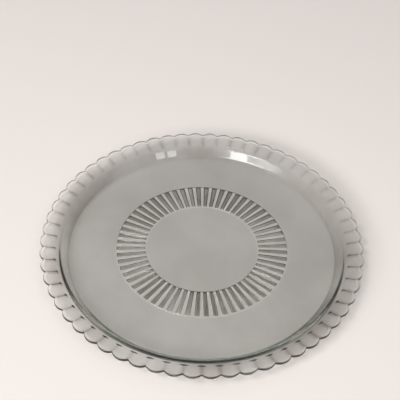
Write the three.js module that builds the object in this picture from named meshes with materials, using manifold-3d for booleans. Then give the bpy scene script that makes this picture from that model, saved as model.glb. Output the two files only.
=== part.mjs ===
// Round serving platter of pressed clear glass: a flat floor with a ring of flutes pressed into its underside,
// a low sloping wall and a scalloped rim. The glass is one moulding, drawn here as its five zones, which meet
// face to face. Millimetres, +Z up, the table at Z = 0 and the axis of the platter on Z.

import * as THREE from 'three';
import { mergeVertices } from 'three/addons/utils/BufferGeometryUtils.js';
import Module from 'manifold-3d';

const wasm = await Module();
wasm.setup();

// Overall size
const OVERALL_DIAMETER = 310;
const OVERALL_HEIGHT = 17;

// Floor and wall of the well
const FLOOR_THICKNESS = 4.5;
const WALL_RUN = 7.5;
const WALL_THICKNESS = 3.6;
const HEEL_REACH = 2;

// Scalloped rim
const RIM_WIDTH = 19;
const RIM_RISE = 4.6;
const RIM_THICKNESS = 3.2;
const RIM_EDGE_BEVEL = 0.8;
const SCALLOP_COUNT = 60;
const SCALLOP_DEPTH = 3.1;
const VALLEY_DEPTH = 1.1;
const VALLEY_RUN = 2.5;

// Ring of flutes under the floor, which stands back from the table
const FLUTE_COUNT = 60;
const FLUTE_OUTER_DIAMETER = 166;
const FLUTE_LENGTH = 27.5;
const FLUTE_DEPTH = 1.2;
const FLUTE_CORNER_RADIUS = 0.9;
const RIB_OUTER_WIDTH = 3.9;
const RIB_INNER_WIDTH = 2.6;
const RING_MARGIN = 1;
const RING_RECESS = 0.4;

// Fineness of the round surfaces
const RIM_STEPS_PER_SCALLOP = 6;
const BODY_STEPS_PER_SCALLOP = 3;
const CORNER_STEPS = 3;

// A cutter starts this far outside the face that it cuts
const CUTTER_OVERRUN = 1;

const GLASS_COLOUR = 0xdfe8e1;
const GLASS_ROUGHNESS = 0.05;
const GLASS_METALNESS = 0;

const rimSteps = SCALLOP_COUNT * RIM_STEPS_PER_SCALLOP;
const bodySteps = SCALLOP_COUNT * BODY_STEPS_PER_SCALLOP;

// Points of the cross-section, as radius and height
const tip = new THREE.Vector2(OVERALL_DIAMETER / 2, OVERALL_HEIGHT);
const wallTop = new THREE.Vector2(tip.x - RIM_WIDTH, tip.y - RIM_RISE);
const wallFoot = new THREE.Vector2(wallTop.x - WALL_RUN, FLOOR_THICKNESS);

// The underside bends one thickness below the bend of the top, and stands on the table at the heel
const wallSlope = (wallTop.y - wallFoot.y) / (wallTop.x - wallFoot.x);
const rimSlope = (tip.y - wallTop.y) / (tip.x - wallTop.x);
const wallDrop = WALL_THICKNESS * Math.hypot(1, wallSlope);
const rimDrop = RIM_THICKNESS * Math.hypot(1, rimSlope);
const rimUnderside = (radius) => wallTop.y + (radius - wallTop.x) * rimSlope - rimDrop;
const heel = new THREE.Vector2(wallFoot.x + HEEL_REACH, 0);
const underBendRadius = wallTop.x + (wallDrop - rimDrop) / (wallSlope - rimSlope);
const underBend = new THREE.Vector2(underBendRadius, rimUnderside(underBendRadius));

const fluteOuterRadius = FLUTE_OUTER_DIAMETER / 2;
const fluteInnerRadius = fluteOuterRadius - FLUTE_LENGTH;
const ringOuterRadius = fluteOuterRadius + RING_MARGIN;
const ringInnerRadius = fluteInnerRadius - RING_MARGIN;

// A ring turned about Z from the corners of its cross-section, given counter-clockwise
function turnedRing(corners, steps) {
  const geometry = new THREE.LatheGeometry([...corners, corners[0]], steps);
  geometry.rotateX(Math.PI / 2);
  return welded(geometry);
}

function welded(geometry) {
  geometry.deleteAttribute('normal');
  geometry.deleteAttribute('uv');
  return mergeVertices(geometry);
}

function flatRing(innerRadius, outerRadius, bottom, top) {
  return turnedRing([
    new THREE.Vector2(innerRadius, bottom),
    new THREE.Vector2(outerRadius, bottom),
    new THREE.Vector2(outerRadius, top),
    new THREE.Vector2(innerRadius, top),
  ], bodySteps);
}

function toSolid(geometry) {
  const mesh = new wasm.Mesh({
    numProp: 3,
    vertProperties: new Float32Array(geometry.attributes.position.array),
    triVerts: new Uint32Array(geometry.index.array),
  });
  return new wasm.Manifold(mesh);
}

function toGeometry(solid) {
  const mesh = solid.getMesh();
  const geometry = new THREE.BufferGeometry();
  geometry.setAttribute('position', new THREE.BufferAttribute(mesh.vertProperties, 3));
  geometry.setIndex(new THREE.BufferAttribute(mesh.triVerts, 1));
  return geometry;
}

function addGlass(group, name, geometry) {
  geometry.computeVertexNormals();
  const glass = new THREE.MeshStandardMaterial({
    color: GLASS_COLOUR,
    roughness: GLASS_ROUGHNESS,
    metalness: GLASS_METALNESS,
  });
  const mesh = new THREE.Mesh(geometry, glass);
  mesh.name = name;
  group.add(mesh);
}

function centreDisc() {
  const disc = new THREE.CylinderGeometry(ringInnerRadius, ringInnerRadius, FLOOR_THICKNESS, bodySteps);
  disc.rotateX(Math.PI / 2);
  disc.translate(0, 0, FLOOR_THICKNESS / 2);
  return welded(disc);
}

// Plan of one flute: a wedge with round corners that leaves a rib of the set width on each side
function fluteOutline() {
  const inner = fluteInnerRadius;
  const outer = fluteOuterRadius;
  const halfPitch = Math.PI / FLUTE_COUNT;
  const innerHalf = inner * Math.sin(halfPitch) - RIB_INNER_WIDTH / 2;
  const outerHalf = outer * Math.sin(halfPitch) - RIB_OUTER_WIDTH / 2;
  const round = Math.min(FLUTE_CORNER_RADIUS, innerHalf, outerHalf);
  const outline = new THREE.Shape();
  outline.moveTo(inner, innerHalf - round);
  outline.quadraticCurveTo(inner, innerHalf, inner + round, innerHalf);
  outline.lineTo(outer - round, outerHalf);
  outline.quadraticCurveTo(outer, outerHalf, outer, outerHalf - round);
  outline.lineTo(outer, round - outerHalf);
  outline.quadraticCurveTo(outer, -outerHalf, outer - round, -outerHalf);
  outline.lineTo(inner + round, -innerHalf);
  outline.quadraticCurveTo(inner, -innerHalf, inner, round - innerHalf);
  outline.closePath();
  return outline;
}

function ribbedRing() {
  const flute = new THREE.ExtrudeGeometry(fluteOutline(), {
    depth: FLUTE_DEPTH + CUTTER_OVERRUN,
    bevelEnabled: false,
    curveSegments: CORNER_STEPS,
  });
  flute.translate(0, 0, RING_RECESS - CUTTER_OVERRUN);
  let ring = toSolid(flatRing(ringInnerRadius, ringOuterRadius, RING_RECESS, FLOOR_THICKNESS));
  for (let i = 0; i < FLUTE_COUNT; i += 1) {
    const turned = flute.clone().rotateZ((i / FLUTE_COUNT) * 2 * Math.PI);
    ring = ring.subtract(toSolid(welded(turned)));
  }
  return toGeometry(ring);
}

function wellFloor() {
  return turnedRing([
    new THREE.Vector2(ringOuterRadius, 0),
    heel,
    wallFoot,
    new THREE.Vector2(ringOuterRadius, FLOOR_THICKNESS),
  ], bodySteps);
}

function sideWall() {
  return turnedRing([heel, underBend, wallTop, wallFoot], bodySteps);
}

// Share of the way from the middle of a scallop, 0, to the notch beside it, 1
function notchShare(angle) {
  const turns = (angle / (2 * Math.PI)) * SCALLOP_COUNT;
  return 2 * Math.abs(turns - Math.round(turns));
}

// Radius of the scalloped edge: each scallop is one arc from notch to notch
function edgeRadius(angle) {
  const halfPitch = Math.PI / SCALLOP_COUNT;
  const notchRadius = tip.x - SCALLOP_DEPTH;
  const halfChord = notchRadius * Math.sin(halfPitch);
  const rise = tip.x - notchRadius * Math.cos(halfPitch);
  const arcRadius = (halfChord ** 2 + rise ** 2) / (2 * rise);
  const arcCentre = tip.x - arcRadius;
  const offset = notchShare(angle) * halfPitch;
  return arcCentre * Math.cos(offset) + Math.sqrt(arcRadius ** 2 - (arcCentre * Math.sin(offset)) ** 2);
}

// The rim is turned plain, then drawn in to the scalloped edge, and its underside is lifted between the scallops
function scallopedRim() {
  const underEdge = rimUnderside(tip.x);
  const seatRadius = Math.max(underBend.x, wallTop.x);
  const valleyHead = seatRadius + VALLEY_RUN;
  const rim = turnedRing([
    underBend,
    new THREE.Vector2(valleyHead, rimUnderside(valleyHead)),
    new THREE.Vector2(tip.x - RIM_EDGE_BEVEL, rimUnderside(tip.x - RIM_EDGE_BEVEL)),
    new THREE.Vector2(tip.x, underEdge + RIM_EDGE_BEVEL),
    new THREE.Vector2(tip.x, tip.y - RIM_EDGE_BEVEL),
    new THREE.Vector2(tip.x - RIM_EDGE_BEVEL, tip.y),
    wallTop,
  ], rimSteps);
  const position = rim.attributes.position;
  for (let i = 0; i < position.count; i += 1) {
    const x = position.getX(i);
    const y = position.getY(i);
    const z = position.getZ(i);
    const radius = Math.hypot(x, y);
    const angle = Math.atan2(y, x);
    const share = Math.max(0, radius - seatRadius) / (tip.x - seatRadius);
    const drawn = (radius + share * (edgeRadius(angle) - tip.x)) / radius;
    const isUnderside = z < rimUnderside(radius) + RIM_THICKNESS / 2;
    const sunk = Math.min(1, Math.max(0, radius - seatRadius) / VALLEY_RUN);
    const lift = isUnderside ? VALLEY_DEPTH * sunk * notchShare(angle) ** 2 : 0;
    position.setXYZ(i, x * drawn, y * drawn, z + lift);
  }
  return rim;
}

const platter = new THREE.Group();
addGlass(platter, 'centre_disc', centreDisc());
addGlass(platter, 'ribbed_ring', ribbedRing());
addGlass(platter, 'well_floor', wellFloor());
addGlass(platter, 'side_wall', sideWall());
addGlass(platter, 'scalloped_rim', scallopedRim());

export default platter;
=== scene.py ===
"""Round platter of pressed clear glass on a plain pale floor.

One scallop's wedge of that skin is drawn as rows of points, from the middle
of the floor out over the rim and back under it. Geometry Nodes turn copies of the wedge round the axis and
weld them. Two marks on the points say where painted shade darkens the glass and where the mould roughened it.
"""

import math

import bpy
from bpy.props import FloatProperty, FloatVectorProperty, IntProperty, PointerProperty
from mathutils import Matrix, Vector


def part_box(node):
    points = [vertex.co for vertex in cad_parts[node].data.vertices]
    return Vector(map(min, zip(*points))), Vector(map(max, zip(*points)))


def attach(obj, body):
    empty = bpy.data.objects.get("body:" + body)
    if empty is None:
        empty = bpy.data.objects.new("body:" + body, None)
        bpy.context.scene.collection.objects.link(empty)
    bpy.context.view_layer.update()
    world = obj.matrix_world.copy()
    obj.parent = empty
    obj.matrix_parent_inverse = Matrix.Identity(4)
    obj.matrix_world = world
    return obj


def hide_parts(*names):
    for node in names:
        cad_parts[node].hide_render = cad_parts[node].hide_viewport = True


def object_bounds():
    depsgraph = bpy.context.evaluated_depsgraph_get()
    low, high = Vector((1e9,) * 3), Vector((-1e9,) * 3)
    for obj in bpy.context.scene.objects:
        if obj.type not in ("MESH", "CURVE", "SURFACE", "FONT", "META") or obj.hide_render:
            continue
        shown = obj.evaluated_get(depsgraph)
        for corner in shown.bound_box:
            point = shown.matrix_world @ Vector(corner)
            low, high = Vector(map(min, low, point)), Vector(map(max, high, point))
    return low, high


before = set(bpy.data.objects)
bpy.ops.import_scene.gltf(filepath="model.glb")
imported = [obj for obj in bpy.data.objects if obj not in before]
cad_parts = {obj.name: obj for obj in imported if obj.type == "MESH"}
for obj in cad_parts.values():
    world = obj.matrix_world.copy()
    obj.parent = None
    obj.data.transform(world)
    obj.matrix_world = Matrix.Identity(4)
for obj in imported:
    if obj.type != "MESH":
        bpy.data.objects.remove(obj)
CAD_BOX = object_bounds()
CAD_SIZE = CAD_BOX[1] - CAD_BOX[0]
WALL_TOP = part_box("side_wall")[1].z
FLOOR_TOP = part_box("centre_disc")[1].z
# Marks on the points: where painted shade darkens the glass, and where the mould roughened it
SHADE_MARK = "painted_shade"
MOULD_MARK = "mould"

# Ranges of the smudge noise and of the painted shade mark over which the glass changes, and how thin the
# painted shade gets
RUBBED_SMUDGE = (0.5, 0.8)
CLOUDY_SMUDGE = (0.3, 0.7)
SHADE_RAMP = (0.05, 0.6)
LEAST_SHADE_COVER = 0.42
WHITE = (1.0, 1.0, 1.0, 1.0)

bl_info = {
    "name": "Pressed glass platter",
    "version": (1, 0, 0),
    "blender": (4, 5, 0),
    "location": "View3D > Sidebar > Platter",
    "description": "Makes a scalloped platter of pressed clear glass and its stage",
    "category": "Add Mesh",
}


class PlatterSizes(bpy.types.PropertyGroup):
    """Sizes of the glass."""

    overall_diameter: FloatProperty(
        name="Overall diameter", description="Across the tips of the scallops",
        default=CAD_SIZE.x, unit="LENGTH")
    overall_height: FloatProperty(
        name="Overall height", description="From the table to the top of the rim",
        default=CAD_SIZE.z, unit="LENGTH")
    floor_thickness: FloatProperty(
        name="Floor thickness", description="Of the flat floor of the well",
        default=FLOOR_TOP, unit="LENGTH")
    wall_run: FloatProperty(
        name="Wall run", description="How far the wall leans out over its height",
        default=0.0075, unit="LENGTH")
    wall_thickness: FloatProperty(
        name="Wall thickness", description="Square to the wall",
        default=0.0036, unit="LENGTH")
    rim_width: FloatProperty(
        name="Rim width", description="From the top of the wall to the tip of a scallop",
        default=0.019, unit="LENGTH")
    rim_rise: FloatProperty(
        name="Rim rise", description="From the top of the wall to the top of the rim",
        default=CAD_SIZE.z - WALL_TOP, unit="LENGTH")
    rim_thickness: FloatProperty(
        name="Rim thickness", description="Square to the rim",
        default=0.0032, unit="LENGTH")
    edge_radius: FloatProperty(
        name="Edge radius", description="Rounding of the rim's edge",
        default=0.0009, unit="LENGTH")
    scallop_count: IntProperty(
        name="Scallops", description="Scallops round the rim, with one flute of the floor to each",
        default=60, min=3)
    scallop_depth: FloatProperty(
        name="Scallop depth", description="From the tip of a scallop in to the notch beside it",
        default=0.0031, unit="LENGTH")
    valley_depth: FloatProperty(
        name="Valley depth", description="Of the valleys between the scallops, under the rim",
        default=0.0011, unit="LENGTH")
    valley_run: FloatProperty(
        name="Valley run", description="Length over which a valley deepens at its inner end",
        default=0.0020, unit="LENGTH")
    flute_outer_diameter: FloatProperty(
        name="Flute outer diameter", description="Across the outer ends of the flutes",
        default=0.166, unit="LENGTH")
    flute_length: FloatProperty(
        name="Flute length", description="From the outer end of a flute to its inner end",
        default=0.0275, unit="LENGTH")
    flute_depth: FloatProperty(
        name="Flute depth", description="How far a flute is pressed up into the floor",
        default=0.0012, unit="LENGTH")
    ring_recess: FloatProperty(
        name="Ring recess", description="How far the ring of flutes stands back from the table",
        default=0.0004, unit="LENGTH")
    ring_border: FloatProperty(
        name="Ring border", description="Width of the slope at the two edges of the ring of flutes",
        default=0.0010, unit="LENGTH")
    flute_share: FloatProperty(
        name="Flute share", description="Part of the pitch that a flute takes, the rest being its rib",
        default=0.55, min=0.1, max=0.9, subtype="FACTOR")
    foot_fillet: FloatProperty(
        name="Foot fillet", description="Rounding between the floor and the wall",
        default=0.006, unit="LENGTH")
    bend_fillet: FloatProperty(
        name="Bend fillet", description="Rounding between the wall and the rim",
        default=0.006, unit="LENGTH")
    under_fillet: FloatProperty(
        name="Under fillet", description="Rounding under the bend",
        default=0.004, unit="LENGTH")
    heel_reach: FloatProperty(
        name="Heel reach", description="How far the heel stands outside the foot of the wall",
        default=0.0020, unit="LENGTH")
    heel_fillet: FloatProperty(
        name="Heel fillet", description="Rounding of the outer edge that stands on the table",
        default=0.001, unit="LENGTH")


class PlatterGlass(bpy.types.PropertyGroup):
    """Looks of the glass."""

    tint: FloatVectorProperty(
        name="Tint", description="Colour that the glass keeps over a long way through it",
        default=(0.60, 0.90, 0.62), subtype="COLOR", min=0.0, max=1.0)
    tint_density: FloatProperty(
        name="Tint density", description="How fast the glass takes on its tint, per metre",
        default=6.5, min=0.0)
    index: FloatProperty(
        name="Refractive index", description="Of soda-lime glass", default=1.52, min=1.0)
    polish: FloatProperty(
        name="Roughness", description="Of the fire-polished skin", default=0.015, subtype="FACTOR")
    wear: FloatProperty(
        name="Wear", description="Roughness added where the floor is rubbed", default=0.035, subtype="FACTOR")
    mould_skin: FloatProperty(
        name="Mould skin", description="Roughness that the mould leaves where it touched the glass",
        default=0.28, subtype="FACTOR")
    edge_skin: FloatProperty(
        name="Edge skin", description="Part of the mould skin that the edge of the rim has",
        default=1.0, subtype="FACTOR")
    wall_skin: FloatProperty(
        name="Wall skin", description="Part of the mould skin that the outside of the wall has",
        default=0.5, subtype="FACTOR")
    # Painted shade: the colour that the glass is darkened towards where the shade mark lies
    shade_tone: FloatVectorProperty(
        name="Painted shade", description="Tone of the film that has settled on the underside",
        default=(0.35, 0.311, 0.283), subtype="COLOR", min=0.0, max=1.0)
    # Strengths of the painted shade under the glass: under the floor it greys the pale floor seen through the
    # glass; under the rim and on the outside of the wall it stands for the shade beneath them; towards each
    # notch it adds the shade between the scallops
    floor_shade: FloatProperty(
        name="Floor film", description="Film under the plain floor", default=0.215, subtype="FACTOR")
    rim_shade: FloatProperty(
        name="Rim film", description="Film under the rim and on the outside of the wall",
        default=0.345, subtype="FACTOR")
    crown_shade: FloatProperty(
        name="Crown film", description="Part of the rim's film in the middle of a scallop",
        default=0.85, subtype="FACTOR")
    notch_shade: FloatProperty(
        name="Notch film", description="Part of the rim's film that is added towards a notch",
        default=0.65, subtype="FACTOR")
    smudge_scale: FloatProperty(
        name="Smudge scale", description="Smudges and clouds in a metre", default=14.0, min=0.0)
    ripple: FloatProperty(
        name="Ripple", description="Height of the slow waves in pressed glass",
        default=0.00006, unit="LENGTH")
    ripple_scale: FloatProperty(
        name="Ripple scale", description="Slow waves in a metre", default=38.0, min=0.0)
    grain: FloatProperty(
        name="Grain", description="Height of the fine unevenness, as a part of the ripple",
        default=0.06, subtype="FACTOR")
    grain_scale: FloatProperty(
        name="Grain scale", description="Fine bumps in a metre", default=260.0, min=0.0)


class PlatterStage(bpy.types.PropertyGroup):
    """Floor, lamps and camera."""

    floor_colour: FloatVectorProperty(
        name="Floor colour", description="Of the plain floor",
        default=(0.85, 0.795, 0.765), subtype="COLOR", min=0.0, max=1.0)
    floor_roughness: FloatProperty(
        name="Floor roughness", description="Of the plain floor", default=0.9, subtype="FACTOR")
    floor_shine: FloatProperty(
        name="Floor shine", description="Specular level of the plain floor", default=0.1, subtype="FACTOR")
    air_gap: FloatProperty(
        name="Air gap", description="Film of air between the glass and the floor",
        default=0.0002, unit="LENGTH")
    room_light: FloatProperty(
        name="Room light", description="Strength of the even light all round", default=0.26, min=0.0)
    window_power: FloatProperty(
        name="Window power", description="Of the larger soft lamp behind the camera", default=4.7, min=0.0)
    lens: FloatProperty(
        name="Lens", description="Focal length in millimetres on a 36 mm wide sensor", default=69.1, min=1.0)


class Row:
    """One row of the wedge: shares across it from -1 to 1, with the radius, height and painted shade at each.
    """

    def __init__(self, shares, points, moulded=0.0, painted_shade=None):
        self.shares = shares
        self.points = points
        self.moulded = moulded
        self.painted_shade = painted_shade or [0.0] * len(shares)


def eased(steps):
    """Shares from -1 to 1 that crowd towards both ends."""
    return [math.sin(math.pi / 2 * (2 * i / steps - 1)) for i in range(steps + 1)]


def even(steps):
    """Evenly spaced shares from -1 to 1."""
    return [2 * i / steps - 1 for i in range(steps + 1)]


def smoothed(share):
    """A share from 0 to 1, held to those ends and eased at both."""
    share = min(1.0, max(0.0, share))
    return share * share * (3 - 2 * share)


def fillet(before, corner, after, radius, steps=6):
    """Points of the arc that rounds a corner of the cross-section."""
    back = (before - corner).normalized()
    on = (after - corner).normalized()
    half = back.angle(on) / 2
    centre = corner + (back + on).normalized() * radius / math.sin(half)
    first = corner + back * radius / math.tan(half) - centre
    last = corner + on * radius / math.tan(half) - centre
    turn = first.angle_signed(last)
    points = []
    for i in range(steps + 1):
        arm = first.copy()
        arm.rotate(Matrix.Rotation(-turn * i / steps, 2))
        points.append(centre + arm)
    return points


class Section:
    """Corners of the platter's cross-section, as radius and height, and the rules that its rows follow."""

    # Steps across a wedge
    BODY_STEPS = 6
    RIM_STEPS = 16
    FLUTE_STEPS = 12
    RIB_STEPS = 3

    # Rows along it
    RIM_ROWS = 9
    UNDER_RIM_ROWS = 18
    EDGE_STEPS = 4
    FLUTE_ROWS = 18
    BORDER_STEPS = 4

    # How much the rows under the rim crowd towards its edge: 1 is evenly spaced
    UNDER_RIM_CROWDING = 0.6

    # How round a flute's hollow is across it, and how square its ends are
    FLUTE_ROUND = 4.0
    FLUTE_POWER = 0.5
    FLUTE_SQUARE = 24

    # Part of a quarter circle that a valley is bowed by, and how close to the notch the painted shade under
    # the rim gathers
    VALLEY_BOW = 0.5
    NOTCH_POWER = 4

    # Least distance between two rows that have different shares
    GUARD = 0.0002

    def __init__(self, sizes, looks):
        self.sizes = sizes
        self.looks = looks
        self.half_pitch = math.pi / sizes.scallop_count
        self.tip = Vector((sizes.overall_diameter / 2, sizes.overall_height))
        self.bend = self.tip - Vector((sizes.rim_width, sizes.rim_rise))
        self.foot = Vector((self.bend.x - sizes.wall_run, sizes.floor_thickness))
        self.wall_slope = (self.bend.y - self.foot.y) / sizes.wall_run
        self.rim_slope = sizes.rim_rise / sizes.rim_width
        wall_drop = sizes.wall_thickness * math.hypot(1, self.wall_slope)
        self.rim_drop = sizes.rim_thickness * math.hypot(1, self.rim_slope)
        self.heel = Vector((self.foot.x + sizes.heel_reach, 0))
        under = self.bend.x + (wall_drop - self.rim_drop) / (self.wall_slope - self.rim_slope)
        self.under_bend = Vector((under, self.rim_top(under) - self.rim_drop))
        self.valley_head = self.under_bend.x + sizes.under_fillet / 2
        self.flute_outer = sizes.flute_outer_diameter / 2
        self.flute_inner = self.flute_outer - sizes.flute_length

    def rim_top(self, radius):
        """Height of the rim's top."""
        return self.bend.y + (radius - self.bend.x) * self.rim_slope

    def rim_under(self, radius, share):
        """Height of the rim's underside."""
        return self.rim_top(radius) - self.rim_drop + self.valley(share, radius - self.valley_head)

    def edge_radius(self, share):
        """Radius of the scalloped edge: each scallop is one arc from notch to notch."""
        notch = self.tip.x - self.sizes.scallop_depth
        half_chord = notch * math.sin(self.half_pitch)
        rise = self.tip.x - notch * math.cos(self.half_pitch)
        arc = (half_chord ** 2 + rise ** 2) / (2 * rise)
        centre = self.tip.x - arc
        angle = share * self.half_pitch
        return centre * math.cos(angle) + math.sqrt(arc ** 2 - (centre * math.sin(angle)) ** 2)

    def valley(self, share, way_in):
        """How far the underside is lifted between two scallops, way_in past the inner end of the valley."""
        bow = 1 - math.sqrt(1 - (self.VALLEY_BOW * share) ** 2)
        deepest = 1 - math.sqrt(1 - self.VALLEY_BOW ** 2)
        return self.sizes.valley_depth * bow / deepest * smoothed(way_in / self.sizes.valley_run)

    def flute_lift(self, share, radius):
        """How far the underside is pressed up into a flute."""
        across = abs(share) / self.sizes.flute_share
        middle = (self.flute_outer + self.flute_inner) / 2
        along = min(1.0, abs(radius - middle) / (self.sizes.flute_length / 2))
        if across >= 1:
            return 0.0
        hollow = (1 - across ** self.FLUTE_ROUND) ** self.FLUTE_POWER
        return self.sizes.flute_depth * hollow * math.sqrt(1 - along ** self.FLUTE_SQUARE)

    def ring_sink(self, radius):
        """How far the ring of flutes as a whole stands back from the table."""
        past = max(radius - self.flute_outer, self.flute_inner - radius) - self.GUARD
        return self.sizes.ring_recess * smoothed(1 - past / self.sizes.ring_border)

    def flute_shares(self):
        """Shares across a wedge that crowd at the sides of its flute."""
        width = self.sizes.flute_share
        rib = [width + (1 - width) * (i + 1) / self.RIB_STEPS for i in range(self.RIB_STEPS)]
        return [-s for s in reversed(rib)] + [width * s for s in eased(self.FLUTE_STEPS)] + rib

    def plain(self, points, moulded=0.0, painted_shade=0.0):
        """Rows that are the same all the way across."""
        shares = even(self.BODY_STEPS)
        return [Row(shares, [point] * len(shares), moulded, [painted_shade] * len(shares)) for point in points]

    def top_rows(self):
        """Rows over the well, from near the axis to the start of the rim."""
        sizes = self.sizes
        axis = Vector((0, self.foot.y))
        wall_foot = fillet(axis, self.foot, self.bend, sizes.foot_fillet)
        wall_top = fillet(self.foot, self.bend, self.tip, sizes.bend_fillet)
        flat_radii = (self.flute_inner, self.flute_outer, wall_foot[0].x - self.GUARD)
        flat = [Vector((radius, self.foot.y)) for radius in flat_radii]
        return self.plain(flat + wall_foot + wall_top)

    def rim_rows(self):
        """Rows over the rim, round its scalloped edge and back under it."""
        sizes, looks = self.sizes, self.looks
        shares = eased(self.RIM_STEPS)
        round_by = sizes.edge_radius
        reach = [self.edge_radius(share) - round_by for share in shares]
        rows = []
        start = self.bend.x + sizes.bend_fillet
        for i in range(1, self.RIM_ROWS + 1):
            along = i / self.RIM_ROWS
            radii = [start + (end - start) * along for end in reach]
            rows.append(Row(shares, [Vector((r, self.rim_top(r))) for r in radii]))
        for i in range(1, self.EDGE_STEPS + 1):
            angle = math.pi / 2 * i / self.EDGE_STEPS
            out, down = round_by * math.sin(angle), round_by * (1 - math.cos(angle))
            rows.append(Row(shares, [
                Vector((r + out, self.rim_top(r) - down)) for r in reach], looks.edge_skin))
        for i in range(self.EDGE_STEPS + 1):
            angle = math.pi / 2 * i / self.EDGE_STEPS
            out, up = round_by * math.cos(angle), round_by * (1 - math.sin(angle))
            rows.append(Row(shares, [
                Vector((r + out, self.rim_under(r, s) + up))
                for r, s in zip(reach, shares)], looks.edge_skin))
        # Painted shade under the rim: lighter in the middle of each scallop and heavier towards the notches,
        # where shade falls between the scallops
        painted_shade = [
            looks.rim_shade * (looks.crown_shade + looks.notch_shade * share ** self.NOTCH_POWER)
            for share in shares]
        for i in range(1, self.UNDER_RIM_ROWS + 1):
            along = (i / self.UNDER_RIM_ROWS) ** self.UNDER_RIM_CROWDING
            radii = [end + (self.valley_head - end) * along for end in reach]
            points = [Vector((r, self.rim_under(r, s))) for r, s in zip(radii, shares)]
            rows.append(Row(shares, points, painted_shade=painted_shade))
        return rows

    def under_rows(self):
        """Rows down the outside of the wall and in under the floor to near the axis."""
        sizes, looks = self.sizes, self.looks
        rim_end = Vector((self.tip.x, self.rim_top(self.tip.x) - self.rim_drop))
        axis = Vector((0, 0))
        bend = fillet(rim_end, self.under_bend, self.heel, sizes.under_fillet)
        heel = fillet(self.under_bend, self.heel, axis, sizes.heel_fillet)
        # Painted shade on the outside of the wall and under the bend, then under the plain floor
        rows = self.plain(bend + heel[:-1], moulded=looks.wall_skin, painted_shade=looks.rim_shade)
        rows += self.plain([heel[-1], heel[-1] - Vector((self.GUARD, 0))], painted_shade=looks.floor_shade)
        shares = self.flute_shares()
        middle = (self.flute_outer + self.flute_inner) / 2
        radii = [middle + sizes.flute_length / 2 * s for s in reversed(eased(self.FLUTE_ROWS))]
        steps = [sizes.ring_border * i / self.BORDER_STEPS for i in range(self.BORDER_STEPS + 1)]
        outer_border = [self.flute_outer + self.GUARD + step for step in reversed(steps)]
        inner_border = [self.flute_inner - self.GUARD - step for step in steps]
        flat_shade = [looks.floor_shade] * len(shares)
        rows.append(Row(shares, [Vector((outer_border[0] + self.GUARD, 0))] * len(shares), painted_shade=flat_shade))
        for radius in (*outer_border, *radii, *inner_border):
            sunk = self.ring_sink(radius)
            lifts = [self.flute_lift(share, radius) for share in shares]
            # Painted shade in the flutes, as deep as each flute is pressed up, so that they look dark; the
            # ribs and the ring's borders have none
            rows.append(Row(
                shares, [Vector((radius, sunk + lift)) for lift in lifts],
                painted_shade=[lift / sizes.flute_depth for lift in lifts]))
        rows.append(Row(shares, [Vector((inner_border[-1] - self.GUARD, 0))] * len(shares), painted_shade=flat_shade))
        return rows


def wedge_mesh(section):
    """Mesh of one wedge of the skin, one scallop wide, open along its two sides."""
    rows = section.top_rows() + section.rim_rows() + section.under_rows()
    vertices = []
    shade_values = []
    moulded = []
    starts = []
    for row in rows:
        starts.append(len(vertices))
        for share, point in zip(row.shares, row.points):
            angle = share * section.half_pitch
            vertices.append((point.x * math.cos(angle), point.x * math.sin(angle), point.y))
        shade_values += row.painted_shade
        moulded += [row.moulded] * len(row.shares)
    faces = []
    for i in range(len(rows) - 1):
        faces += strip(rows[i], starts[i], rows[i + 1], starts[i + 1])
    top_pole = len(vertices)
    vertices += [(0, 0, section.foot.y), (0, 0, 0)]
    shade_values += [0.0, section.looks.floor_shade]
    moulded += [0.0, 0.0]
    last = len(rows) - 1
    for i in range(len(rows[0].shares) - 1):
        faces.append((top_pole, starts[0] + i, starts[0] + i + 1))
    for i in range(len(rows[last].shares) - 1):
        faces.append((starts[last] + i, top_pole + 1, starts[last] + i + 1))
    mesh = bpy.data.meshes.new("glass_wedge")
    mesh.from_pydata(vertices, [], faces)
    # The painted shade and mould marks go on the points
    for mark, values in ((SHADE_MARK, shade_values), (MOULD_MARK, moulded)):
        mesh.attributes.new(mark, "FLOAT", "POINT").data.foreach_set("value", values)
    mesh.update()
    return mesh


def strip(row, start, next_row, next_start):
    """Faces between two rows: quads where their shares agree, otherwise triangles taken in order across."""
    if row.shares == next_row.shares:
        return [(start + i, next_start + i, next_start + i + 1, start + i + 1)
                for i in range(len(row.shares) - 1)]
    faces = []
    i = j = 0
    last, next_last = len(row.shares) - 1, len(next_row.shares) - 1
    while i < last or j < next_last:
        if j == next_last or (i < last and row.shares[i + 1] <= next_row.shares[j + 1]):
            faces.append((start + i, next_start + j, start + i + 1))
            i += 1
        else:
            faces.append((start + i, next_start + j, next_start + j + 1))
            j += 1
    return faces


class Wire:
    """A socket of a node tree, with the arithmetic that adds Math nodes."""

    def __init__(self, tree, socket):
        self.tree = tree
        self.socket = socket

    def add(self, kind, settings=None, **sockets):
        return add_node(self.tree, kind, settings, **sockets)

    def math(self, operation, first, second):
        return self.add("ShaderNodeMath", {"operation": operation}, i0=first, i1=second)

    def ramp(self, low, high):
        """0 up to low and 1 from high on, eased between them."""
        return self.add(
            "ShaderNodeMapRange", {"interpolation_type": "SMOOTHSTEP"},
            Value=self, From_Min=low, From_Max=high, To_Min=0.0, To_Max=1.0)

    def __add__(self, other):
        return self.math("ADD", self, other)

    def __radd__(self, other):
        return self.math("ADD", other, self)

    def __sub__(self, other):
        return self.math("SUBTRACT", self, other)

    def __rsub__(self, other):
        return self.math("SUBTRACT", other, self)

    def __mul__(self, other):
        return self.math("MULTIPLY", self, other)

    def __rmul__(self, other):
        return self.math("MULTIPLY", other, self)

    def __truediv__(self, other):
        return self.math("DIVIDE", self, other)

    def __rtruediv__(self, other):
        return self.math("DIVIDE", other, self)


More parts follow.
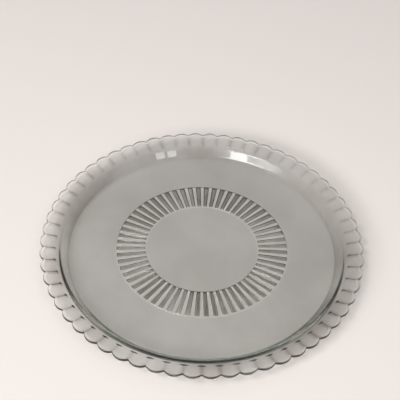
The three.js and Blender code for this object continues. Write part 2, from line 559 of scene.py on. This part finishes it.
def add_node(tree, kind, settings=None, output=0, **sockets):
    """Adds a node, sets its settings, then its sockets by name or as i0, i1 and on, and gives an output."""
    node = tree.nodes.new(kind)
    for name, value in (settings or {}).items():
        setattr(node, name, value)
    for name, value in sockets.items():
        is_number = name[0] == "i" and name[1:].isdigit()
        socket = node.inputs[int(name[1:])] if is_number else node.inputs[name.replace("_", " ")]
        if isinstance(value, Wire):
            tree.links.new(value.socket, socket)
        else:
            socket.default_value = value
    return Wire(tree, node.outputs[output]) if node.outputs else None


def new_material(name):
    """An empty material and its node tree."""
    material = bpy.data.materials.new(name)
    material.use_nodes = True
    tree = material.node_tree
    tree.nodes.clear()
    return material, tree


def glass_material(looks):
    """Clear pressed glass: slow ripples, a rubbed floor, painted shade underneath in cloudy patches, and a
    green tint.
    """
    material, tree = new_material("pressed_glass")
    place = add_node(tree, "ShaderNodeTexCoord", output="Object")
    slow = add_node(
        tree, "ShaderNodeTexNoise", Vector=place, Scale=looks.ripple_scale, Detail=1.0, Roughness=0.4)
    fine = add_node(
        tree, "ShaderNodeTexNoise", Vector=place, Scale=looks.grain_scale, Detail=2.0, Roughness=0.5)
    smudge = add_node(
        tree, "ShaderNodeTexNoise", Vector=place, Scale=looks.smudge_scale, Detail=4.0, Roughness=0.6)
    ripple = add_node(
        tree, "ShaderNodeBump", Height=slow + fine * looks.grain, Distance=looks.ripple, Strength=1.0)
    painted_shade = add_node(tree, "ShaderNodeAttribute", {"attribute_name": SHADE_MARK}, output="Fac")
    mould = add_node(tree, "ShaderNodeAttribute", {"attribute_name": MOULD_MARK}, output="Fac")
    rubbed = smudge.ramp(*RUBBED_SMUDGE)
    # Painted shade: where the shade mark lies the glass's colour is mixed towards the shade colour, unevenly
    # in cloudy patches, and the rubbed roughness gives way to it
    darkened = painted_shade.ramp(*SHADE_RAMP)
    shade_cover = darkened * (LEAST_SHADE_COVER + smudge.ramp(*CLOUDY_SMUDGE))
    painted_tone = add_node(
        tree, "ShaderNodeMix", {"data_type": "RGBA", "clamp_factor": True}, output=2,
        i0=shade_cover, i6=WHITE, i7=(*looks.shade_tone, 1.0))
    skin = add_node(
        tree, "ShaderNodeBsdfPrincipled", Base_Color=painted_tone, Transmission_Weight=1.0,
        IOR=looks.index, Normal=ripple,
        Roughness=looks.polish + rubbed * (1 - darkened) * looks.wear + mould * looks.mould_skin)
    depth = add_node(
        tree, "ShaderNodeVolumeAbsorption", Color=(*looks.tint, 1.0), Density=looks.tint_density)
    add_node(tree, "ShaderNodeOutputMaterial", Surface=skin, Volume=depth)
    return material


def floor_material(stage):
    """Plain matt floor."""
    material, tree = new_material("pale_floor")
    matt = add_node(
        tree, "ShaderNodeBsdfPrincipled", Base_Color=(*stage.floor_colour, 1.0),
        Roughness=stage.floor_roughness, Specular_IOR_Level=stage.floor_shine)
    add_node(tree, "ShaderNodeOutputMaterial", Surface=matt)
    return material


def turning_tree():
    """Geometry Nodes that turn copies of a wedge round the axis and weld them into one closed skin."""
    tree = bpy.data.node_groups.new("turn_wedges", "GeometryNodeTree")
    inputs = {
        "Wedge": "NodeSocketGeometry", "Count": "NodeSocketInt", "Weld": "NodeSocketFloat",
        "Glass": "NodeSocketMaterial"}
    identifiers = {
        name: tree.interface.new_socket(name, in_out="INPUT", socket_type=kind).identifier
        for name, kind in inputs.items()}
    tree.interface.new_socket("Skin", in_out="OUTPUT", socket_type="NodeSocketGeometry")
    given = tree.nodes.new("NodeGroupInput")
    wedge, count, weld, glass = (Wire(tree, given.outputs[name]) for name in inputs)
    spots = add_node(tree, "GeometryNodePoints", Count=count)
    turn = add_node(
        tree, "ShaderNodeCombineXYZ", Z=add_node(tree, "GeometryNodeInputIndex") * (2 * math.pi / count))
    copies = add_node(tree, "GeometryNodeInstanceOnPoints", Points=spots, Instance=wedge, Rotation=turn)
    whole = add_node(tree, "GeometryNodeRealizeInstances", Geometry=copies)
    welded = add_node(tree, "GeometryNodeMergeByDistance", Geometry=whole, Distance=weld)
    smooth = add_node(tree, "GeometryNodeSetShadeSmooth", Geometry=welded, Shade_Smooth=True)
    glazed = add_node(tree, "GeometryNodeSetMaterial", Geometry=smooth, Material=glass)
    result = tree.nodes.new("NodeGroupOutput")
    tree.links.new(glazed.socket, result.inputs["Skin"])
    return tree, identifiers


class PLATTER_OT_glass(bpy.types.Operator):
    """Make the glass as one closed skin"""

    bl_idname = "platter.glass"
    bl_label = "Glass"

    # Points of two wedges that are this close become one
    WELD = 2e-6

    def execute(self, context):
        sizes, looks = context.scene.platter_sizes, context.scene.platter_glass
        wedge = wedge_mesh(Section(sizes, looks))
        glass = bpy.data.objects.new("glass_body", wedge)
        context.scene.collection.objects.link(glass)
        tree, identifiers = turning_tree()
        turning = glass.modifiers.new("turn_wedges", "NODES")
        turning.node_group = tree
        turning[identifiers["Count"]] = sizes.scallop_count
        turning[identifiers["Weld"]] = self.WELD
        turning[identifiers["Glass"]] = glass_material(looks)
        context.view_layer.update()
        evaluated = glass.evaluated_get(context.evaluated_depsgraph_get())
        skin = bpy.data.meshes.new_from_object(evaluated)
        glass.modifiers.remove(turning)
        glass.data = skin
        skin.name = "glass_body"
        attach(glass, "root")
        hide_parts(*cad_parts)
        return {"FINISHED"}


class PLATTER_OT_stage(bpy.types.Operator):
    """Make the floor, the lamps and the camera"""

    bl_idname = "platter.stage"
    bl_label = "Stage"

    FLOOR_RADIUS = 6.0
    FLOOR_SIDES = 96
    ROOM_COLOUR = (1.0, 0.985, 0.96, 1.0)

    # Each lamp's direction from the platter, distance, width and height, and multiple of the window power
    LAMPS = {
        "window_left": ((-0.35, -0.43, 0.83), 1.5, (0.58, 0.34), 1.38),
        "window_right": ((0.47, -0.48, 0.74), 1.5, (0.13, 0.24), 0.14),
        "window_middle": ((0.38, -0.56, 0.74), 1.5, (0.13, 0.24), 0.14),
        "low_left": ((-0.47, -0.75, 0.46), 6.0, (4.94, 1.76), 56.0),
        "ceiling": ((0.0, 0.0, 1.0), 3.4, (4.08, 4.08), 6.3),
    }

    CAMERA_PLACE = Vector((0.0088, -0.4958, 0.5676))
    CAMERA_TARGET = Vector((-0.0057, 0.0650, 0.0020))
    CAMERA_ROLL = math.radians(2.60)
    SENSOR_WIDTH = 36.0

    def execute(self, context):
        stage = context.scene.platter_stage
        self.make_floor(context, stage)
        self.make_room(context, stage)
        for name, (direction, distance, size, multiple) in self.LAMPS.items():
            self.make_lamp(context, name, direction, distance, size, stage.window_power * multiple)
        self.make_camera(context, stage)
        context.scene.view_settings.view_transform = "Standard"
        return {"FINISHED"}

    def make_floor(self, context, stage):
        """A plain round floor, a thin gap of air below the glass."""
        corners = []
        for i in range(self.FLOOR_SIDES):
            angle = 2 * math.pi * i / self.FLOOR_SIDES
            x, y = self.FLOOR_RADIUS * math.cos(angle), self.FLOOR_RADIUS * math.sin(angle)
            corners.append((x, y, -stage.air_gap))
        mesh = bpy.data.meshes.new("floor")
        mesh.from_pydata(corners, [], [tuple(range(self.FLOOR_SIDES))])
        mesh.materials.append(floor_material(stage))
        floor = bpy.data.objects.new("floor", mesh)
        context.scene.collection.objects.link(floor)

    def make_room(self, context, stage):
        """Even light all round."""
        world = bpy.data.worlds.new("room")
        world.use_nodes = True
        tree = world.node_tree
        tree.nodes.clear()
        light = add_node(tree, "ShaderNodeBackground", Color=self.ROOM_COLOUR, Strength=stage.room_light)
        add_node(tree, "ShaderNodeOutputWorld", Surface=light)
        context.scene.world = world

    def make_lamp(self, context, name, direction, distance, size, power):
        """A soft rectangular lamp that faces the platter from a direction."""
        lamp = bpy.data.lights.new(name, "AREA")
        lamp.shape = "RECTANGLE"
        lamp.size, lamp.size_y = size
        lamp.energy = power
        spot = bpy.data.objects.new(name, lamp)
        toward = Vector(direction).normalized()
        spot.location = toward * distance
        spot.rotation_euler = (-toward).to_track_quat("-Z", "Y").to_euler()
        context.scene.collection.objects.link(spot)

    def make_camera(self, context, stage):
        """The camera, rolled a little."""
        lens = bpy.data.cameras.new("camera")
        lens.lens = stage.lens
        lens.sensor_width = self.SENSOR_WIDTH
        camera = bpy.data.objects.new("camera", lens)
        facing = (self.CAMERA_TARGET - self.CAMERA_PLACE).to_track_quat("-Z", "Y").to_matrix()
        turned = facing @ Matrix.Rotation(self.CAMERA_ROLL, 3, "Z")
        camera.matrix_world = Matrix.Translation(self.CAMERA_PLACE) @ turned.to_4x4()
        context.scene.collection.objects.link(camera)
        context.scene.camera = camera


class PLATTER_PT_panel(bpy.types.Panel):
    """Sizes, looks and steps of the platter"""

    bl_idname = "PLATTER_PT_panel"
    bl_label = "Glass platter"
    bl_space_type = "VIEW_3D"
    bl_region_type = "UI"
    bl_category = "Platter"

    def draw(self, context):
        for group in (context.scene.platter_sizes, context.scene.platter_glass, context.scene.platter_stage):
            column = self.layout.column(align=True)
            for name in group.__annotations__:
                column.prop(group, name)
        for step in STEPS:
            self.layout.operator(step.bl_idname)


STEPS = (PLATTER_OT_glass, PLATTER_OT_stage)
GROUPS = {"platter_sizes": PlatterSizes, "platter_glass": PlatterGlass, "platter_stage": PlatterStage}


def register():
    for group in GROUPS.values():
        bpy.utils.register_class(group)
    for name, group in GROUPS.items():
        setattr(bpy.types.Scene, name, PointerProperty(type=group))
    for step in STEPS:
        bpy.utils.register_class(step)
    bpy.utils.register_class(PLATTER_PT_panel)


def unregister():
    bpy.utils.unregister_class(PLATTER_PT_panel)
    for step in reversed(STEPS):
        bpy.utils.unregister_class(step)
    for name, group in GROUPS.items():
        delattr(bpy.types.Scene, name)
        bpy.utils.unregister_class(group)


def main():
    register()
    bpy.ops.platter.glass()
    bpy.ops.platter.stage()


if __name__ == "__main__":
    main()
